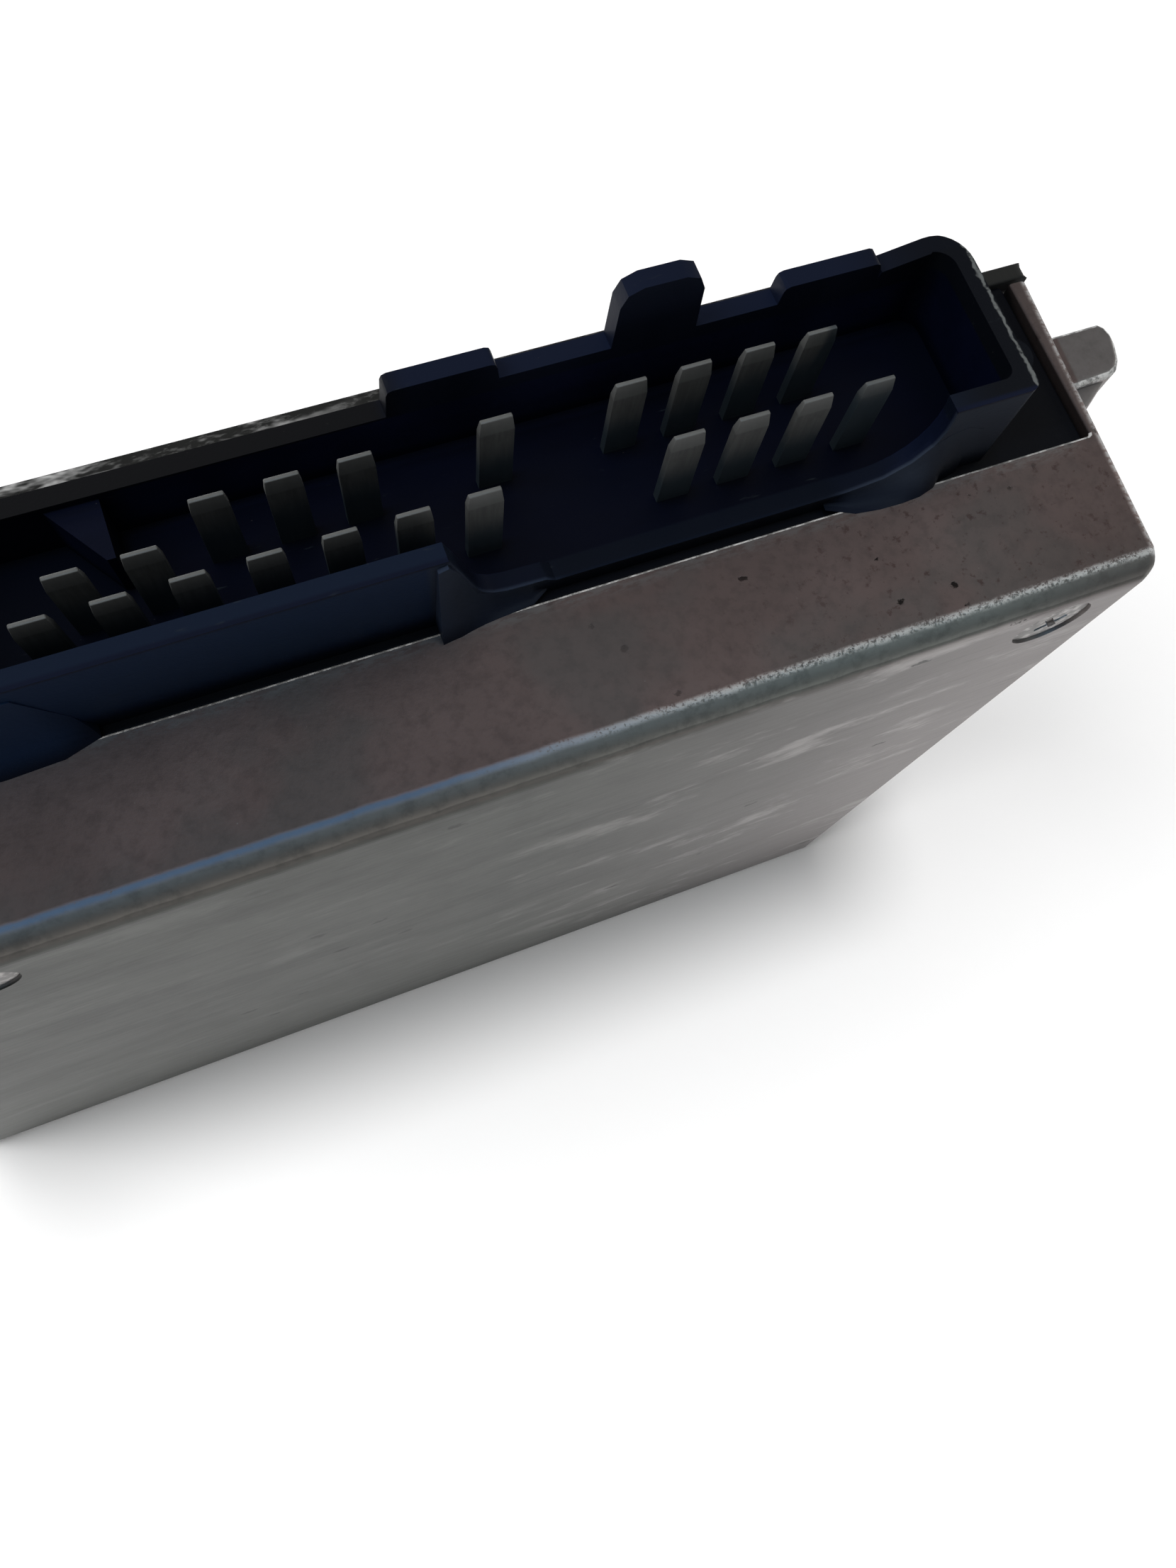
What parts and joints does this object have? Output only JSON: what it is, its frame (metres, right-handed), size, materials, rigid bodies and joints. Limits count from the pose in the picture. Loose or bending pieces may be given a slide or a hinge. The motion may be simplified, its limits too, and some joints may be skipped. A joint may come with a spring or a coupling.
{
  "type": "engine control unit",
  "caption": "Flat cast aluminium control unit with a pressed lid and an open black plug header of blade contacts on one edge, with a small screw lug at each side.",
  "frame": {"origin": "on the rear wall that the unit stands on, under the middle of the plug header and halfway through the thickness", "axes": "+X along the header, +Y from the large plain face to the lid, +Z out of the header"},
  "size_m": [0.145, 0.0336, 0.113],
  "materials": {
    "cast_case": "die-cast, bare; the large face is ground with fine scratches",
    "lid_sheet": "pressed sheet, bare",
    "clamp": "mill finish",
    "header_plastic": "moulded, glass-filled, satin",
    "contact_plating": "dull tin plating on copper alloy",
    "screw_steel": "zinc plated",
    "seal": "cured sealing compound",
    "insulator": "silicone pad",
    "board": "glass-epoxy laminate with solder resist",
    "chip_body": "moulded epoxy",
    "capacitor_sleeve": "shrunk sleeve",
    "film_case": "moulded case",
    "resistor_body": "cement filled",
    "crystal_can": "tinned can",
    "winding": "ferrite drum with varnished winding"
  },
  "bodies": {
    "root": {"board_screw_1": "screw_steel", "board_screw_2": "screw_steel", "board_screw_3": "screw_steel", "board_screw_4": "screw_steel", "choke": "winding", "circuit_board": "board", "clamp_bar": "clamp", "clamp_screw_1": "screw_steel", "clamp_screw_2": "screw_steel", "contact_lower_01": "contact_plating", "contact_lower_02": "contact_plating", "contact_lower_03": "contact_plating", "contact_lower_04": "contact_plating", "contact_lower_07": "contact_plating", "contact_lower_08": "contact_plating", "contact_lower_09": "contact_plating", "contact_lower_10": "contact_plating", "contact_lower_11": "contact_plating", "contact_lower_12": "contact_plating", "contact_lower_13": "contact_plating", "contact_upper_01": "contact_plating", "contact_upper_02": "contact_plating", "contact_upper_03": "contact_plating", "contact_upper_04": "contact_plating", "contact_upper_06": "contact_plating", "contact_upper_08": "contact_plating", "contact_upper_09": "contact_plating", "contact_upper_10": "contact_plating", "contact_upper_11": "contact_plating", "contact_upper_12": "contact_plating", "crystal": "crystal_can", "diode_1": "chip_body", "diode_2": "chip_body", "film_capacitor_1": "film_case", "film_capacitor_2": "film_case", "header": "header_plastic", "header_screw_left": "screw_steel", "header_screw_right": "screw_steel", "housing": "cast_case", "insulator_strip": "insulator", "lid": "lid_sheet", "lid_screw_1": "screw_steel", "lid_screw_2": "screw_steel", "lid_screw_3": "screw_steel", "lid_screw_4": "screw_steel", "lid_seal": "seal", "power_resistor_1": "resistor_body", "power_resistor_2": "resistor_body", "processor": "chip_body", "program_memory": "chip_body", "signal_chip_1": "chip_body", "signal_chip_2": "chip_body", "supply_capacitor_1": "capacitor_sleeve", "supply_capacitor_2": "capacitor_sleeve", "transistor_1": "chip_body", "transistor_2": "chip_body", "transistor_3": "chip_body", "transistor_4": "chip_body"}
  },
  "joints": []
}
